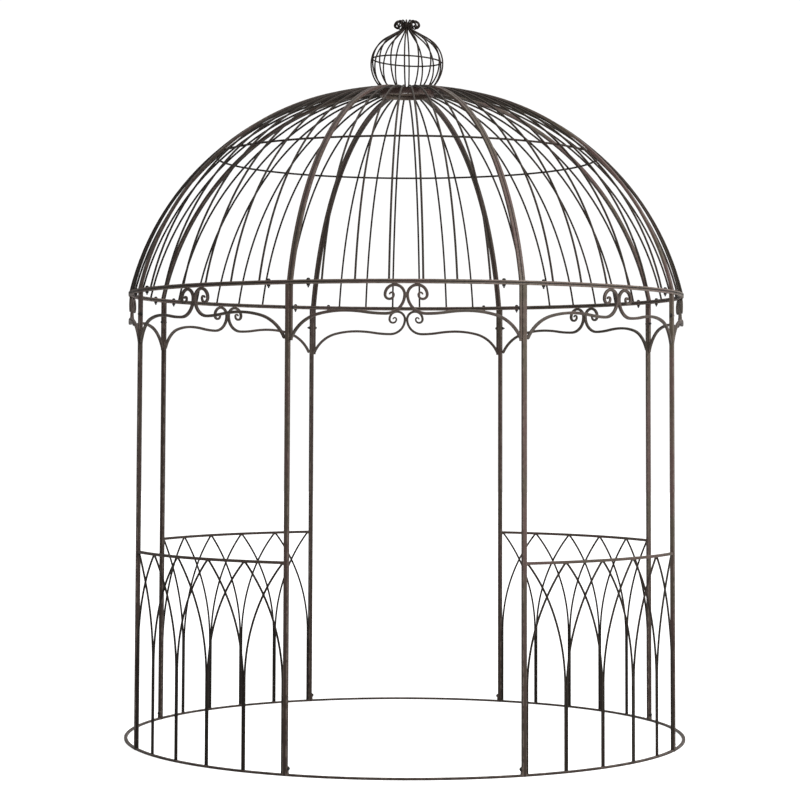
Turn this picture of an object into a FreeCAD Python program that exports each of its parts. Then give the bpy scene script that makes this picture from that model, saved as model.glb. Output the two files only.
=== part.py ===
"""Round garden pavilion of welded steel tube and rod: eight posts, four open doorways, four
railed bays, a scrolled frieze in every bay and a ribbed dome with a wire finial.

Origin: on the ground at the centre of the plan. +Z is up and -Y is the front doorway.
Units: millimetres and degrees.
"""
import FreeCAD, Part
import Sketcher
import math
import os

os.makedirs("parts", exist_ok=True)
doc = FreeCAD.newDocument("GardenPavilion")
sheet = doc.addObject("Spreadsheet::Sheet", "Sizes")

# alias, value, what it sets
SIZES = [
    ("base_radius", 1250, "centre line of the ring on the ground"),
    ("post_lean", 13.5, "how much nearer the axis the posts stand at the eaves"),
    ("post_size", 18, "side of the square post tube"),
    ("post_height", 1968, "ground to the underside of the eaves beams"),
    ("joint_gap", 0.2, "clearance between pieces that are bolted face to face"),
    ("sill_width", 15, "radial width of the ground arcs"),
    ("sill_height", 9, "height of the ground arcs"),
    ("tab_height", 40, "bolting tab at the end of a doorway's ground arc"),
    ("tab_thickness", 4, "thickness of that tab"),
    ("rail_size", 12, "side of the square handrail"),
    ("rail_level", 852, "centre of the handrail above the ground"),
    ("rod_size", 9, "diameter of the lattice and dome rods"),
    ("rod_bite", 0.5, "depth that welded rods share where they touch"),
    ("split_level", 360, "where a pair of upright rods parts into two arches"),
    ("railing_gaps", 5, "spaces between uprights in one railing"),
    ("beam_width", 15, "radial width of the eaves beams"),
    ("beam_height", 9, "height of each eaves beam"),
    ("hanger_size", 11, "side of the short tube that bolts a doorway frieze to a post"),
    ("hanger_tail", 8.8, "foot of that tube below the scroll's end"),
    ("scroll_size", 12, "side of the scroll bar"),
    ("scroll_back", 75, "radius of the scroll's back"),
    ("scroll_head", 39, "radius of the scroll's head"),
    ("scroll_turn", 17.5, "radius of the turn inside the head"),
    ("scroll_eye", 8.5, "radius of the eye"),
    ("shoulder_rise", 13, "shoulder of the scroll above its lowest point"),
    ("shoulder_reach", 168.5, "shoulder to the lowest point, along the wall"),
    ("shoulder_radius", 430, "radius of the flat part of the shoulder"),
    ("haunch_radius", 170, "radius of the bend down to the post"),
    ("haunch_end", 23.75, "how far off upright the bar meets the post"),
    ("rib_size", 12, "side of the square dome rib"),
    ("dome_rise", 922.5, "top of the eaves to the highest point of a rib's circle"),
    ("dome_shift", 66, "centre of a rib's circle out from the pavilion's axis"),
    ("dome_rods", 6, "rods between the two ribs of one panel"),
    ("hoop_radius", 859, "radius of the hoop that ties the dome rods"),
    ("collar_radius", 122, "outside of the ring that the ribs run up to"),
    ("collar_height", 28, "height of that ring"),
    ("collar_wall", 6, "thickness of each of its two layers"),
    ("finial_rods", 16, "rods in the finial"),
    ("finial_rod_size", 7, "diameter of those rods"),
    ("finial_turn", -3.7, "turn of the finial's first rod from +X"),
    ("finial_foot_width", 17, "radial width of the finial's foot ring"),
    ("finial_foot_height", 9, "height of the foot ring"),
    ("finial_seat", 14.7, "outside of the foot ring to the rods' centre line"),
    ("bulb_radius", 162, "widest part of the finial"),
    ("bulb_level", 120, "widest part above the collar"),
    ("bulb_upper_radius", 130, "curve of a finial rod above the widest part"),
    ("bulb_hoop_level", 14, "finial hoop above the widest part"),
    ("bulb_slope", 29, "slope of the rods as they close to the neck"),
    ("neck_radius", 20, "finial rods' centre line at the neck"),
    ("neck_bend", 16, "bend of a rod into the neck"),
    ("neck_length", 8, "straight part of the neck"),
    ("curl_radius", 18.5, "outer turn of a curl"),
    ("curl_eye", 11, "inner turn of a curl"),
]
for row, (alias, value, note) in enumerate(SIZES, start=1):
    sheet.set("A%d" % row, note)
    sheet.set("B%d" % row, str(value))
    sheet.setAlias("B%d" % row, alias)
doc.recompute()


def number(expression):
    """The plain number that an expression over the sheet comes to."""
    result = sheet.evalExpression(expression)
    return float(getattr(result, "Value", result))


# Places that follow from the sheet, as expressions
EAVES_RADIUS = "(Sizes.base_radius - Sizes.post_lean)"
RAIL_RADIUS = "(Sizes.base_radius - Sizes.post_lean * Sizes.rail_level / Sizes.post_height)"
BEAM_TOP = "(Sizes.post_height + Sizes.beam_height)"
SPRING = "(Sizes.post_height + 2 * Sizes.beam_height)"
RIB_REACH = "({0} - Sizes.dome_shift)".format(EAVES_RADIUS)
RIB_CURVE = "((pow({0}; 2) + pow(Sizes.dome_rise; 2)) / (2 * Sizes.dome_rise))".format(RIB_REACH)
DOME_CENTRE = "({0} + Sizes.dome_rise - {1})".format(SPRING, RIB_CURVE)
COLLAR_TOP = "({0} + sqrt(pow({1}; 2) - pow(Sizes.collar_radius - Sizes.dome_shift; 2)))".format(
    DOME_CENTRE, RIB_CURVE)
COLLAR_FOOT = "({0} - Sizes.collar_height)".format(COLLAR_TOP)
FINIAL_OUTSIDE = "(Sizes.collar_radius - 2 * Sizes.collar_wall - 2 * Sizes.joint_gap)"
HOOP_CURVE = "({0} - Sizes.rod_size + Sizes.rod_bite)".format(RIB_CURVE)
HOOP_LEVEL = "({0} + sqrt(pow({1}; 2) - pow(Sizes.hoop_radius - Sizes.dome_shift; 2)))".format(
    DOME_CENTRE, HOOP_CURVE)

POST_ANGLE = "22.5 deg"


def off_post(distance, radius):
    """Angle that a distance sideways from a post's centre line takes up at a radius."""
    return "asin(({0}) / ({1}))".format(distance, radius)


POST_SIDE = "Sizes.post_size / 2 + Sizes.joint_gap"
SEAM_SHIFT = off_post("(Sizes.post_size + Sizes.joint_gap) / 2", EAVES_RADIUS)
SEAM = {
    "closed": "({0} + {1})".format(POST_ANGLE, SEAM_SHIFT),
    "open": "({0} - {1})".format(POST_ANGLE, SEAM_SHIFT),
}

# The scrolls, measured along the wall from the middle of a bay
SCROLL_LOW = ("(Sizes.post_height + Sizes.rod_bite - Sizes.scroll_size / 2"
              " - Sizes.scroll_head - Sizes.scroll_back)")
BACK_CENTRE = "((Sizes.scroll_size - Sizes.rod_bite) / 2 + Sizes.scroll_back)"
SCROLL_END = {
    "open": "(Sizes.hanger_size / 2)",
    "closed": "(Sizes.scroll_size / 2)",
}


def shoulder_lean(kind):
    """Slope of a scroll's shoulder where its haunch begins, from the room left in the bay."""
    post_side = "({0} / 180 deg * pi * {1} - {2})".format(POST_ANGLE, EAVES_RADIUS, POST_SIDE)
    haunch = "(Sizes.haunch_radius * cos(Sizes.haunch_end))"
    room = "({0} - {1} - {2} - {3} - Sizes.shoulder_reach)".format(
        post_side, SCROLL_END[kind], haunch, BACK_CENTRE)
    return "asin({0} / (Sizes.shoulder_radius - Sizes.haunch_radius))".format(room)


HANGER_FOOT = (
    "({0} + Sizes.shoulder_rise - Sizes.shoulder_radius + Sizes.haunch_radius * sin(Sizes.haunch_end)"
    " + (Sizes.shoulder_radius - Sizes.haunch_radius) * cos({1}) - Sizes.hanger_tail)"
).format(SCROLL_LOW, shoulder_lean("open"))

BAYS = [
    ("right", 0, "open"),
    ("back_right", 45, "closed"),
    ("back", 90, "open"),
    ("back_left", 135, "closed"),
    ("left", 180, "open"),
    ("front_left", 225, "closed"),
    ("front", 270, "open"),
    ("front_right", 315, "closed"),
]
POSTS = [
    ("right_back_post", 22.5),
    ("back_right_post", 67.5),
    ("back_left_post", 112.5),
    ("left_back_post", 157.5),
    ("left_front_post", 202.5),
    ("front_left_post", 247.5),
    ("front_right_post", 292.5),
    ("right_front_post", 337.5),
]
nodes = []


def turned(angle):
    """Placement turned about the pavilion's axis."""
    return FreeCAD.Placement(FreeCAD.Vector(), FreeCAD.Rotation(FreeCAD.Vector(0, 0, 1), angle))


def finish(piece, label, angle):
    """Turn a finished sub-part to its bay and list it for export."""
    piece.Label = label
    piece.Placement = turned(angle)
    nodes.append(piece)


def rectangle_sketch(body, role, left, width, bottom, height):
    """A rectangle on one of the body's origin planes, held by the sheet."""
    sketch = body.newObject("Sketcher::SketchObject", body.Name + "_section")
    plane = next(p for p in body.Origin.OriginFeatures if p.Role == role)
    sketch.AttachmentSupport = (plane, "")
    sketch.MapMode = "FlatFace"
    x, y, w, h = number(left), number(bottom), number(width), number(height)
    corners = [(x, y), (x + w, y), (x + w, y + h), (x, y + h)]
    points = [FreeCAD.Vector(a, b, 0) for a, b in corners]
    for i in range(4):
        sketch.addGeometry(Part.LineSegment(points[i], points[(i + 1) % 4]), False)
    for i in range(4):
        sketch.addConstraint(Sketcher.Constraint("Coincident", i, 2, (i + 1) % 4, 1))
    for i in (0, 2):
        sketch.addConstraint(Sketcher.Constraint("Horizontal", i))
        sketch.addConstraint(Sketcher.Constraint("Vertical", i + 1))
    origin, line_start, line_end = (-1, 1), 1, 2
    for name, kind, begin, end, value, expression in (
        ("left", "DistanceX", origin, (0, line_start), x, left),
        ("bottom", "DistanceY", origin, (0, line_start), y, bottom),
        ("width", "DistanceX", (0, line_start), (0, line_end), w, width),
        ("height", "DistanceY", (1, line_start), (1, line_end), h, height),
    ):
        index = sketch.addConstraint(Sketcher.Constraint(kind, *begin, *end, value))
        sketch.renameConstraint(index, name)
        sketch.setExpression("Constraints." + name, expression)
    return sketch


def level_arc(name, radius, width, bottom, height, half_angle):
    """A bar bent into a level arc about the axis, centred on the bay."""
    body = doc.addObject("PartDesign::Body", name)
    inner = "{0} - {1} / 2".format(radius, width)
    sketch = rectangle_sketch(body, "XZ_Plane", inner, width, bottom, height)
    bend = body.newObject("PartDesign::Revolution", name + "_bend")
    bend.Profile = sketch
    bend.ReferenceAxis = (sketch, ["V_Axis"])
    bend.Midplane = True
    bend.setExpression("Angle", "2 * ({0})".format(half_angle))
    sketch.Visibility = False
    return body


def round_arc(name, radius, rod, level, half_angle):
    """A round rod bent into a level arc about the axis, centred on the bay."""
    hoop = doc.addObject("Part::Torus", name)
    hoop.setExpression("Radius1", radius)
    hoop.setExpression("Radius2", rod + " / 2")
    hoop.setExpression("Angle3", "2 * ({0})".format(half_angle))
    hoop.Placement = turned(-number(half_angle))
    hoop.Placement.Base = FreeCAD.Vector(0, 0, number(level))
    return hoop


def meridian_bar(name, bar, offset, turn, foot_bite, top_radius):
    """A bar bent to a rib's circle in the upright plane at a turn, offset sideways from it."""
    body = doc.addObject("PartDesign::Body", name)
    start = "asin(({0} - Sizes.dome_rise - {1}) / {0})".format(RIB_CURVE, foot_bite)
    stop = "acos(({1} - Sizes.dome_shift) / {0})".format(RIB_CURVE, top_radius)
    inner = "{0} - {1} / 2".format(RIB_CURVE, bar)
    low = "{0} - {1} / 2".format(offset, bar)
    sketch = rectangle_sketch(body, "XY_Plane", inner, bar, low, bar)
    sketch.setExpression("AttachmentOffset.Rotation.Angle", start)
    sketch.AttachmentOffset = FreeCAD.Placement(
        FreeCAD.Vector(), FreeCAD.Rotation(FreeCAD.Vector(0, -1, 0), number(start)))
    bend = body.newObject("PartDesign::Revolution", name + "_bend")
    bend.Profile = sketch
    bend.ReferenceAxis = (sketch, ["V_Axis"])
    bend.Reversed = True
    bend.setExpression("Angle", "{0} - {1}".format(stop, start))
    centre = FreeCAD.Vector(number("Sizes.dome_shift"), 0, number(DOME_CENTRE))
    body.Placement = turned(number(turn)).multiply(FreeCAD.Placement(centre, FreeCAD.Rotation()))
    sketch.Visibility = False
    return body


def leaning_bar(name, width, depth, bottom, top, angle, shift):
    """An upright rectangular bar that follows the lean of the posts.

    width runs along the wall and depth across it; shift is the bar's distance along the wall
    from the radial line at the given angle.
    """
    bar = doc.addObject("Part::Wedge", name)
    wall = "(Sizes.base_radius - Sizes.post_lean * ({0}) / Sizes.post_height)"
    inner, outer = "{0} - {1} / 2".format(wall, depth), "{0} + {1} / 2".format(wall, depth)
    bounds = {
        "Xmin": "({0}) - ({1}) / 2".format(shift, width),
        "Xmax": "({0}) + ({1}) / 2".format(shift, width),
        "Ymin": bottom,
        "Ymax": top,
        "Zmin": inner.format(bottom),
        "Zmax": outer.format(bottom),
        "X2min": "({0}) - ({1}) / 2".format(shift, width),
        "X2max": "({0}) + ({1}) / 2".format(shift, width),
        "Z2min": inner.format(top),
        "Z2max": outer.format(top),
    }
    for side, expression in bounds.items():
        setattr(bar, side, number(expression))
    for side, expression in bounds.items():
        bar.setExpression(side, expression)
    upright = FreeCAD.Rotation(
        FreeCAD.Vector(0, 1, 0), FreeCAD.Vector(0, 0, 1), FreeCAD.Vector(1, 0, 0), "XYZ")
    bar.Placement = FreeCAD.Placement(FreeCAD.Vector(), turned(angle).Rotation.multiply(upright))
    return bar


def fused(name, pieces):
    """One welded sub-part."""
    weld = doc.addObject("Part::MultiFuse", name + "_weld")
    weld.Shapes = pieces
    return weld


def wall_point(along, level, measured_at):
    """Point on the leaning wall, so high, and so far from the bay's centre at a given radius."""
    lean = number("Sizes.post_lean") * level / number("Sizes.post_height")
    radius = number("Sizes.base_radius") - lean
    turn = along / measured_at
    return FreeCAD.Vector(radius * math.cos(turn), radius * math.sin(turn), level)


def bent(points):
    """Arc edge through the first, middle and last of three points, or a line through two."""
    if len(points) == 2:
        return Part.LineSegment(*points).toShape()
    return Part.Arc(*points).toShape()


def swept_bar(name, edges, side, sideways):
    """A square bar along joined edges; sideways is a direction across its start."""
    path = Part.Wire(edges)
    start = path.Edges[0].valueAt(path.Edges[0].FirstParameter)
    along = path.Edges[0].tangentAt(path.Edges[0].FirstParameter)
    across = along.cross(sideways).normalize()
    other = across.cross(along).normalize()
    half = side / 2
    corners = [start + across * (a * half) + other * (b * half)
               for a, b in ((1, 1), (-1, 1), (-1, -1), (1, -1))]
    profile = Part.makePolygon(corners + corners[:1])
    bar = doc.addObject("Part::Feature", name)
    bar.Shape = path.makePipeShell([profile], True, False)
    return bar


def arc_points(centre, radius, start, stop):
    """Start, middle and end of an arc in the plane of the wall, by angles in degrees."""
    angles = (start, (start + stop) / 2, stop)
    return [(centre[0] + radius * math.cos(math.radians(a)),
             centre[1] + radius * math.sin(math.radians(a))) for a in angles]


def make_posts():
    for label, angle in POSTS:
        post = leaning_bar(label, "Sizes.post_size", "Sizes.post_size", "0", "Sizes.post_height",
                           angle, "0")
        post.Label = label
        nodes.append(post)


def make_sill_arc(bay, angle):
    """Ground arc of a doorway, with a bolting tab standing against each post."""
    middle_of_tab = POST_SIDE + " + Sizes.tab_thickness / 2"
    half = "{0} - {1}".format(POST_ANGLE, off_post(middle_of_tab, "Sizes.base_radius"))
    pieces = [level_arc(bay + "_sill_bar", "Sizes.base_radius", "Sizes.sill_width", "0",
                        "Sizes.sill_height", half)]
    for side in (-1, 1):
        shift = "{0} * ({1})".format(-side, middle_of_tab)
        pieces.append(leaning_bar(
            "%s_sill_tab_%d" % (bay, side + 1), "Sizes.tab_thickness", "Sizes.sill_width", "0",
            "Sizes.tab_height", side * number(POST_ANGLE), shift))
    finish(fused(bay + "_sill_arc", pieces), bay + "_sill_arc", angle)


def make_railing(bay, angle):
    """Ground arc, handrail and interlaced arches of a railed bay, welded together."""
    inner = "Sizes.base_radius - Sizes.sill_width / 2"
    half = "{0} - {1}".format(POST_ANGLE, off_post(POST_SIDE, inner))
    rail_inside = RAIL_RADIUS + " - Sizes.rail_size / 2"
    rail_half = "{0} - {1}".format(POST_ANGLE, off_post(POST_SIDE, rail_inside))
    rail_foot = "Sizes.rail_level - Sizes.rail_size / 2"
    pieces = [
        level_arc(bay + "_foot_bar", "Sizes.base_radius", "Sizes.sill_width", "0",
                  "Sizes.sill_height", half),
        level_arc(bay + "_handrail", RAIL_RADIUS, "Sizes.rail_size", rail_foot, "Sizes.rail_size",
                  rail_half),
    ]
    base, rod, bite = number("Sizes.base_radius"), number("Sizes.rod_size"), number("Sizes.rod_bite")
    split, top = number("Sizes.split_level"), number("Sizes.rail_level")
    pair_shift = (rod + number("Sizes.joint_gap")) / 2
    gaps = int(number("Sizes.railing_gaps"))
    bay_length = math.radians(2 * number(POST_ANGLE)) * base
    end = bay_length / 2 - number(POST_SIDE) - rod / 2 - bite
    stations = [-end] + [(i / gaps - 0.5) * bay_length for i in range(1, gaps)] + [end]
    for i, station in enumerate(stations):
        paired = 0 < i < gaps
        width = "Sizes.rod_size + 2 * Sizes.rod_bite"
        if paired:
            width += " + Sizes.rod_size + Sizes.joint_gap"
        pieces.append(leaning_bar(
            "%s_upright_%d" % (bay, i), width, "Sizes.rod_size + 2 * Sizes.rod_bite",
            "Sizes.sill_height - Sizes.rod_bite", "Sizes.split_level", math.degrees(station / base), "0"))
        for side in (-1, 1):
            if not 0 <= i + side <= gaps:
                continue
            start = station + side * pair_shift if paired else station
            run, rise = abs(stations[i + side] - start), top - split
            radius = (run ** 2 + rise ** 2) / (2 * run)
            sweep = math.degrees(math.asin(rise / radius))
            first = 180 if side > 0 else 0
            flat = arc_points((start + side * radius, split), radius, first, first - side * sweep)
            foot = wall_point(start, split - rod, base)
            edges = [
                bent([foot, wall_point(start, split, base)]),
                bent([wall_point(along, level, base) for along, level in flat]),
            ]
            radial = FreeCAD.Vector(foot.x, foot.y, 0)
            pieces.append(swept_bar("%s_arch_%d_%d" % (bay, i, side + 1), edges, rod, radial))
    finish(fused(bay + "_railing", pieces), bay + "_railing", angle)


def scroll_path(kind):
    """Arcs of one scroll bar from its eye to the post, flat on the wall, right-hand half."""
    size = {alias: number("Sizes." + alias) for alias, _, _ in SIZES}
    low, back = number(SCROLL_LOW), number(BACK_CENTRE)
    back_centre = (back, low + size["scroll_back"])
    head_centre = (back - size["scroll_back"] + size["scroll_head"], back_centre[1])
    turn_centre = (head_centre[0] + size["scroll_head"] - size["scroll_turn"], back_centre[1])
    eye_centre = (turn_centre[0] - size["scroll_turn"] + size["scroll_eye"], back_centre[1])
    arcs = [
        (eye_centre, size["scroll_eye"], 0, 180),
        (turn_centre, size["scroll_turn"], 180, 360),
        (head_centre, size["scroll_head"], 0, 180),
        (back_centre, size["scroll_back"], 180, 270),
    ]
    half_reach, half_rise = size["shoulder_reach"] / 2, size["shoulder_rise"] / 2
    sway = (half_reach ** 2 + half_rise ** 2) / (2 * half_rise)
    tilt = math.degrees(math.asin(half_reach / sway))
    peak = (back + size["shoulder_reach"], low + size["shoulder_rise"])
    arcs.append(((back, low + sway), sway, 270, 270 + tilt))
    arcs.append(((peak[0], peak[1] - sway), sway, 90 + tilt, 90))
    flat, haunch = size["shoulder_radius"], size["haunch_radius"]
    lean = number(shoulder_lean(kind))
    arcs.append(((peak[0], peak[1] - flat), flat, 90, 90 - lean))
    centre = (peak[0] + (flat - haunch) * math.sin(math.radians(lean)),
              peak[1] - flat + (flat - haunch) * math.cos(math.radians(lean)))
    arcs.append((centre, haunch, 90 - lean, size["haunch_end"]))
    return arcs


def make_frieze(bay, angle, kind):
    """Eaves beam with its mirrored pair of scrolls, and in a doorway the two hangers."""
    if kind == "open":
        beam_inside = EAVES_RADIUS + " - Sizes.beam_width / 2"
        half = "{0} - {1}".format(POST_ANGLE, off_post(POST_SIDE, beam_inside))
    else:
        half = "{0} + {1}".format(POST_ANGLE, off_post("Sizes.post_size / 2", EAVES_RADIUS))
    pieces = [level_arc(bay + "_eaves_beam", EAVES_RADIUS, "Sizes.beam_width", "Sizes.post_height",
                        "Sizes.beam_height", half)]
    if kind == "open":
        for side in (-1, 1):
            shift = "{0} * ({1} + Sizes.hanger_size / 2)".format(-side, POST_SIDE)
            pieces.append(leaning_bar(
                "%s_hanger_%d" % (bay, side + 1), "Sizes.hanger_size", "Sizes.hanger_size",
                HANGER_FOOT, "Sizes.post_height + Sizes.rod_bite", side * number(POST_ANGLE), shift))
    bar, eaves = number("Sizes.scroll_size"), number(EAVES_RADIUS)
    for side in (-1, 1):
        edges = []
        for centre, radius, start, stop in scroll_path(kind):
            steps = 2 if abs(stop - start) > 100 else 1
            for k in range(steps):
                first = start + (stop - start) * k / steps
                last = start + (stop - start) * (k + 1) / steps
                flat = arc_points(centre, radius, first, last)
                edges.append(bent([wall_point(side * along, level, eaves) for along, level in flat]))
        pieces.append(swept_bar("%s_scroll_%d" % (bay, side + 1), edges, bar, FreeCAD.Vector(1, 0, 0)))
    finish(fused(bay + "_frieze", pieces), bay + "_frieze", angle)


def make_dome_panel(bay, angle, kind):
    """One eighth of the dome: foot and crown arcs, two ribs, the rods between and a hoop."""
    seam = SEAM[kind]
    half_gap = "Sizes.joint_gap / 2"
    beam_inside = EAVES_RADIUS + " - Sizes.beam_width / 2"
    crown_radius = "(Sizes.collar_radius - Sizes.collar_wall / 2)"
    crown_inside = "Sizes.collar_radius - Sizes.collar_wall"
    foot_half = "{0} - {1}".format(seam, off_post(half_gap, beam_inside))
    crown_half = "{0} - {1}".format(seam, off_post(half_gap, crown_inside))
    hoop_half = "{0} - {1}".format(seam, off_post(half_gap + " + Sizes.rib_size / 2", "Sizes.hoop_radius"))
    pieces = [
        level_arc(bay + "_dome_foot", EAVES_RADIUS, "Sizes.beam_width", BEAM_TOP, "Sizes.beam_height",
                  foot_half),
        level_arc(bay + "_dome_crown", crown_radius, "Sizes.collar_wall", COLLAR_FOOT,
                  "Sizes.collar_height", crown_half),
        round_arc(bay + "_dome_hoop", "Sizes.hoop_radius", "Sizes.rod_size", HOOP_LEVEL, hoop_half),
    ]
    foot_bite = "Sizes.beam_height / 3"
    top_radius = "Sizes.collar_radius - Sizes.rod_bite"
    for side in (-1, 1):
        offset = "{0} * (Sizes.rib_size + Sizes.joint_gap) / 2".format(-side)
        pieces.append(meridian_bar("%s_rib_%d" % (bay, side + 1), "Sizes.rib_size", offset,
                                   "{0} * {1}".format(side, seam), foot_bite, top_radius))
    rods = int(number("Sizes.dome_rods"))
    for i in range(rods):
        turn = "{0} * (2 * {1} / (Sizes.dome_rods + 1) - 1)".format(seam, i + 1)
        pieces.append(meridian_bar("%s_dome_rod_%d" % (bay, i + 1), "Sizes.rod_size", "0", turn,
                                   foot_bite, top_radius))
    finish(fused(bay + "_dome_panel", pieces), bay + "_dome_panel", angle)


def full_ring(name, outer, width, bottom, height):
    """A level ring of rectangular section."""
    rounds = []
    for part, radius in (("outside", outer), ("inside", "{0} - {1}".format(outer, width))):
        drum = doc.addObject("Part::Cylinder", "%s_%s" % (name, part))
        drum.setExpression("Radius", radius)
        drum.setExpression("Height", height)
        drum.setExpression("Placement.Base.z", bottom)
        rounds.append(drum)
    ring = doc.addObject("Part::Cut", name)
    ring.Base, ring.Tool = rounds
    return ring


def finial_path():
    """Edges of one finial rod, from the foot ring to the end of its curl, in the XZ plane."""
    size = {alias: number("Sizes." + alias) for alias, _, _ in SIZES}
    level = number(COLLAR_TOP) + size["bulb_level"]
    foot = number(COLLAR_TOP) - size["finial_foot_height"] / 3
    run = size["bulb_radius"] - number(FINIAL_OUTSIDE) + size["finial_seat"]
    lower, upper = (run ** 2 + (level - foot) ** 2) / (2 * run), size["bulb_upper_radius"]
    slope = math.radians(size["bulb_slope"])
    low_centre = (size["bulb_radius"] - lower, level)
    high_centre = (size["bulb_radius"] - upper, level)
    foot_angle = -math.degrees(math.asin((level - foot) / lower))
    arcs = [arc_points(low_centre, lower, foot_angle, 0),
            arc_points(high_centre, upper, 0, 90 - size["bulb_slope"])]
    bend = size["neck_bend"]
    shoulder = arcs[-1][2]
    neck_start = size["neck_radius"] + bend * (1 - math.sin(slope))
    neck_level = shoulder[1] + (shoulder[0] - neck_start) * math.tan(slope) + bend * math.cos(slope)
    bend_centre = (size["neck_radius"] + bend, neck_level)
    bend_arc = arc_points(bend_centre, bend, 270 - size["bulb_slope"], 180)
    arcs += [[shoulder, bend_arc[0]], bend_arc]
    curl_level = neck_level + size["neck_length"]
    curl, eye = size["curl_radius"], size["curl_eye"]
    arcs.append([bend_arc[2], (size["neck_radius"], curl_level)])
    curl_centre = (size["neck_radius"] + curl, curl_level)
    eye_centre = (size["neck_radius"] + 2 * curl - eye, curl_level)
    arcs += [arc_points(curl_centre, curl, 180, 0), arc_points(eye_centre, eye, 0, -180)]
    return [bent([FreeCAD.Vector(x, 0, z) for x, z in points]) for points in arcs]


def make_collar():
    """Ring inside the dome panels' crown arcs, which bolt to it."""
    outer = "Sizes.collar_radius - Sizes.collar_wall - Sizes.joint_gap"
    ring = full_ring("collar_ring", outer, "Sizes.collar_wall", COLLAR_FOOT, "Sizes.collar_height")
    finish(ring, "crown_collar", 0)


def make_finial():
    """Onion-shaped cage of rods on a foot ring inside the collar, with one hoop and curls."""
    pieces = [full_ring("finial_foot", FINIAL_OUTSIDE, "Sizes.finial_foot_width",
                        COLLAR_TOP + " - Sizes.finial_foot_height", "Sizes.finial_foot_height")]
    rod = number("Sizes.finial_rod_size")
    bulb, upper = number("Sizes.bulb_radius"), number("Sizes.bulb_upper_radius")
    lift = number("Sizes.bulb_hoop_level")
    level = number(COLLAR_TOP) + number("Sizes.bulb_level") + lift
    hoop = doc.addObject("Part::Torus", "finial_hoop")
    hoop.Radius1 = bulb - upper + math.sqrt(upper ** 2 - lift ** 2) - rod + number("Sizes.rod_bite")
    hoop.Radius2 = rod / 2
    hoop.Placement.Base = FreeCAD.Vector(0, 0, level)
    pieces.append(hoop)
    edges = finial_path()
    rods = int(number("Sizes.finial_rods"))
    for i in range(rods):
        bar = swept_bar("finial_rod_%d" % (i + 1), edges, rod, FreeCAD.Vector(0, 1, 0))
        bar.Placement = turned(360 / rods * i + number("Sizes.finial_turn"))
        pieces.append(bar)
    finish(fused("finial_cage", pieces), "finial_cage", 0)


make_posts()
for bay, angle, kind in BAYS:
    if kind == "open":
        make_sill_arc(bay, angle)
    else:
        make_railing(bay, angle)
    make_frieze(bay, angle, kind)
    make_dome_panel(bay, angle, kind)
make_collar()
make_finial()
doc.recompute()

for item in doc.Objects:
    if "Invalid" in item.State or "Error" in item.State:
        raise RuntimeError("%s failed: %s" % (item.Name, item.State))
for node in nodes:
    if node.Shape.isNull() or not node.Shape.isValid():
        raise RuntimeError("%s has no valid shape" % node.Label)
for node in nodes:
    node.Shape.exportStep("parts/%s.step" % node.Label)
    box = node.Shape.BoundBox
    print("%-22s %3d solids  volume %10.0f  z %7.1f to %7.1f" % (
        node.Label, len(node.Shape.Solids), node.Shape.Volume, box.ZMin, box.ZMax))
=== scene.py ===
import math
import bmesh
import bpy
from mathutils import Matrix, Vector, noise


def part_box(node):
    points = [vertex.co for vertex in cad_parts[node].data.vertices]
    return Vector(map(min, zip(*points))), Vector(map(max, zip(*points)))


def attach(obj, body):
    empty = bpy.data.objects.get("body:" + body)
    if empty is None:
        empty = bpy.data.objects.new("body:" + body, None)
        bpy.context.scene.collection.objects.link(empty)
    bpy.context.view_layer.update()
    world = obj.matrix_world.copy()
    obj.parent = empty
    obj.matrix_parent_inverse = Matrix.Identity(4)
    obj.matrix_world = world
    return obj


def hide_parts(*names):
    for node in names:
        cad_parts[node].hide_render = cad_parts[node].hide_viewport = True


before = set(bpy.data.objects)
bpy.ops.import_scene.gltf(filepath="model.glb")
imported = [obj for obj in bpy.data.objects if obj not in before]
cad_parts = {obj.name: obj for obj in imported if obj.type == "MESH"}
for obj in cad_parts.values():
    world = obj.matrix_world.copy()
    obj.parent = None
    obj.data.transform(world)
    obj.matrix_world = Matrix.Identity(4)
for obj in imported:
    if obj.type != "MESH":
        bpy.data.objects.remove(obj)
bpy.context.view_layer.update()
print("frame loaded:", len(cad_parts), "nodes")

doorBays = {"right": 0, "back": 90, "left": 180, "front": 270}  # bay and its middle, in degrees about Z
railedBays = {"back_right": 45, "back_left": 135, "front_left": 225, "front_right": 315}
postAngles = {
    "right_back_post": 22.5, "back_right_post": 67.5, "back_left_post": 112.5, "left_back_post": 157.5,
    "left_front_post": 202.5, "front_left_post": 247.5, "front_right_post": 292.5, "right_front_post": 337.5,
}
halfBay = math.radians(22.5)
jointGap = 0.0002  # paint-thin gap between pieces that are bolted face to face
weldBite = 0.0005  # depth that welded bars share where they touch
upward = Vector((0, 0, 1))

# How much of a corner a point is, for worn edges and the painted highlight on them; what lies against another
# piece is below zero, for painted shade along the seam
mark = {"flat": 0.0, "bead": 0.3, "turned": 0.5, "edge": 1.0, "joint": -1.0}

# Steel sections, side or width and height, with the radius of their corners
steel = {
    "post": (0.018, 0.018, 0.0013),
    "ring": (0.015, 0.009, 0.0019),
    "rail": (0.012, 0.012, 0.0012),
    "hanger": (0.011, 0.011, 0.0012),
    "rib": (0.012, 0.012, 0.0012),
    "scroll": (0.012, 0.012, 0.0020),
    "band": (0.006, 0.028, 0.0012),
    "cageFoot": (0.017, 0.009, 0.0014),
    "rod": 0.009,
    "cageRod": 0.007,
}

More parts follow.
